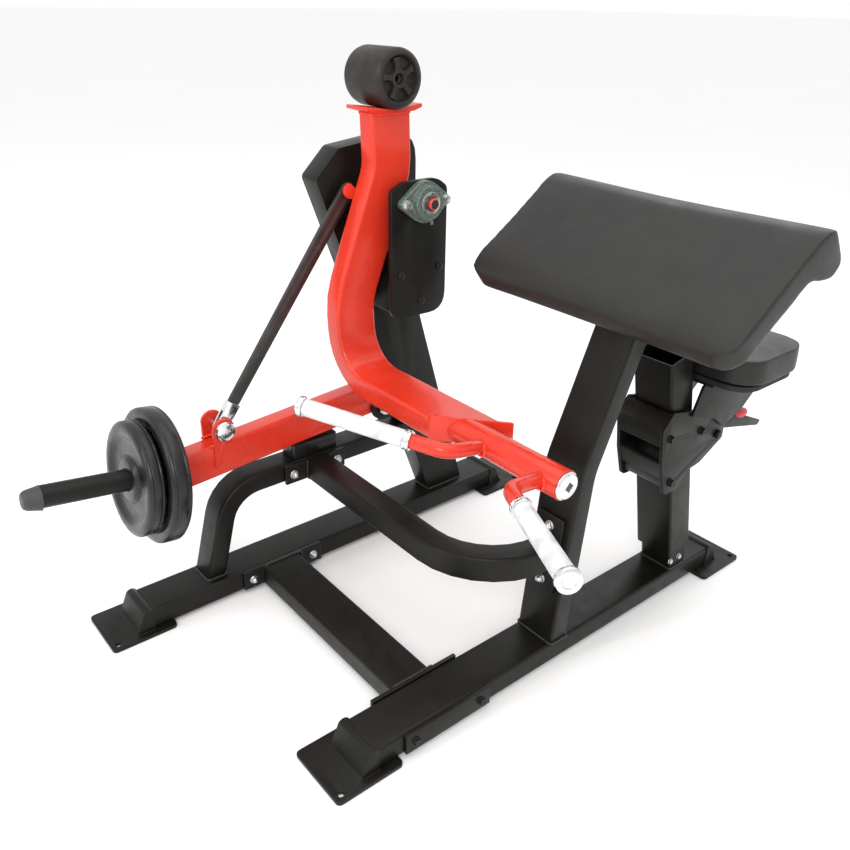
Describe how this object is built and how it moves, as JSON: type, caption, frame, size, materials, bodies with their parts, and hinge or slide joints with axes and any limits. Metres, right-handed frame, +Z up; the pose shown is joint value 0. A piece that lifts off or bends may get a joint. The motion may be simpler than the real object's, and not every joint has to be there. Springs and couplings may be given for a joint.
{
  "type": "plate-loaded arm curl machine",
  "caption": "Seated arm curl machine with an angled elbow pad, a seat that slides on its post, and a swinging handle arm linked to a plate-loaded lever.",
  "frame": {"origin": "middle of the bounding box's footprint, on the floor", "axes": "+Z up; +Y towards the seat's rear, so the user sits at +Y and faces -Y; +X towards the user's side of the frame, with the weight lever at -X"},
  "size_m": [1.1562, 1.5314, 1.2091],
  "materials": {
    "black": "satin black powder coat on welded steel tube and plate",
    "red": "glossy orange-red powder coat on welded steel tube",
    "chrome": "bright plated steel",
    "zinc": "zinc-plated bolt heads, washers and bearing rings",
    "dark_steel": "dark oiled steel",
    "cast_iron": "grey-green painted cast iron",
    "rubber": "moulded black rubber, slightly glossy on the rims",
    "vinyl": "black upholstery vinyl over foam, soft sheen",
    "grip_sleeve": "smooth white plastic sleeve that spins on the handle bar",
    "red_plastic": "moulded red plastic",
    "grey_plastic": "moulded dark grey plastic",
    "board": "plywood board under black covering"
  },
  "bodies": {
    "frame": {"user_base_beam": "black", "user_front_foot": "black", "user_rear_foot": "black", "weight_base_beam": "black", "weight_front_foot": "black", "weight_rear_foot": "black", "lower_cross_beam": "black", "user_beam_clamp_plate": "black", "bearing_pillar": "black", "lever_rest_rail": "black", "lever_rest_bumper": "rubber", "upper_cross_tube": "black", "bearing_cheek_plate": "black", "cheek_spacer_block": "black", "near_bearing_housing": "cast_iron", "near_bearing_bolt_front": "zinc", "near_bearing_bolt_rear": "zinc", "far_bearing_housing": "cast_iron", "lever_pivot_pin": "chrome", "pad_post": "black", "arm_pad_board": "board", "arm_pad": "vinyl", "seat_post_socket": "black", "seat_post": "black"},
    "arm": {"swing_arm_tube": "red", "handle_cross_tube": "red", "cross_tube_end_cap": "chrome", "arm_pivot_sleeve": "red", "pivot_shaft": "dark_steel", "near_bearing_insert": "zinc", "far_bearing_insert": "zinc", "counterweight_saddle": "red", "counterweight": "rubber", "handle_bar_left": "red", "grip_collar_left": "chrome", "grip_end_disc_left": "chrome", "handle_bar_right": "red", "grip_collar_right": "chrome", "grip_end_disc_right": "chrome"},
    "left_grip": {"grip_sleeve_left": "grip_sleeve"},
    "right_grip": {"grip_sleeve_right": "grip_sleeve"},
    "lever": {"weight_lever": "red", "lever_clevis_pin": "chrome", "weight_horn": "black", "horn_end_plug": "grey_plastic"},
    "large_plate": {"large_weight_plate": "rubber"},
    "small_plate": {"small_weight_plate": "rubber"},
    "link": {"link_bar": "dark_steel", "link_fork": "chrome", "link_top_pin": "zinc"},
    "seat_unit": {"seat_carriage": "black", "guide_roller_upper_front": "grey_plastic", "guide_roller_lower_front": "grey_plastic", "guide_roller_rear": "grey_plastic", "seat_support_bracket": "black", "seat_board": "board", "seat_pad": "vinyl"},
    "seat_release": {"seat_release_lever": "black", "seat_release_grip": "red_plastic"}
  },
  "joints": [
    {"name": "arm_swing", "type": "hinge", "parent": "frame", "child": "arm", "pos_m": [-0.33205, 0.11988, 0.903], "axis": [-1, 0, 0], "range_deg": [0, 80]},
    {"name": "lever_lift", "type": "hinge", "parent": "frame", "child": "lever", "pos_m": [-0.42805, 0.10388, 0.367], "axis": [-1, 0, 0], "range_deg": [0, 22.04]},
    {"name": "link_tilt", "type": "hinge", "parent": "lever", "child": "link", "pos_m": [-0.41705, -0.33512, 0.433], "axis": [1, 0, 0], "range_deg": [0, 13.67]},
    {"name": "left_grip_spin", "type": "hinge", "parent": "arm", "child": "left_grip", "pos_m": [0.35695, -0.16912, 0.547], "axis": [0.8693, -0.4798, 0.1189], "continuous": true},
    {"name": "right_grip_spin", "type": "hinge", "parent": "arm", "child": "right_grip", "pos_m": [0.06495, -0.16912, 0.547], "axis": [-0.8693, -0.4798, 0.1189], "continuous": true},
    {"name": "large_plate_slide", "type": "slide", "parent": "lever", "child": "large_plate", "axis": [0, -0.9907, 0.1363], "range_m": [0, 0.14]},
    {"name": "small_plate_slide", "type": "slide", "parent": "lever", "child": "small_plate", "axis": [0, -0.9907, 0.1363], "range_m": [0, 0.14]},
    {"name": "seat_height", "type": "slide", "parent": "frame", "child": "seat_unit", "axis": [0, -0.2167, 0.9762], "range_m": [0, 0.075]},
    {"name": "seat_release_turn", "type": "hinge", "parent": "seat_unit", "child": "seat_release", "pos_m": [0.25695, 0.55588, 0.418], "axis": [1, 0, 0], "range_deg": [0, 15], "stiffness_Nm_per_rad": 1, "springref_deg": -11.46}
  ],
  "couplings": [
    {"joint": "lever_lift", "follows": "arm_swing", "ratio": 0.27541},
    {"joint": "link_tilt", "follows": "arm_swing", "ratio": 0.17076},
    {"joint": "small_plate_slide", "follows": "large_plate_slide", "ratio": 1}
  ]
}
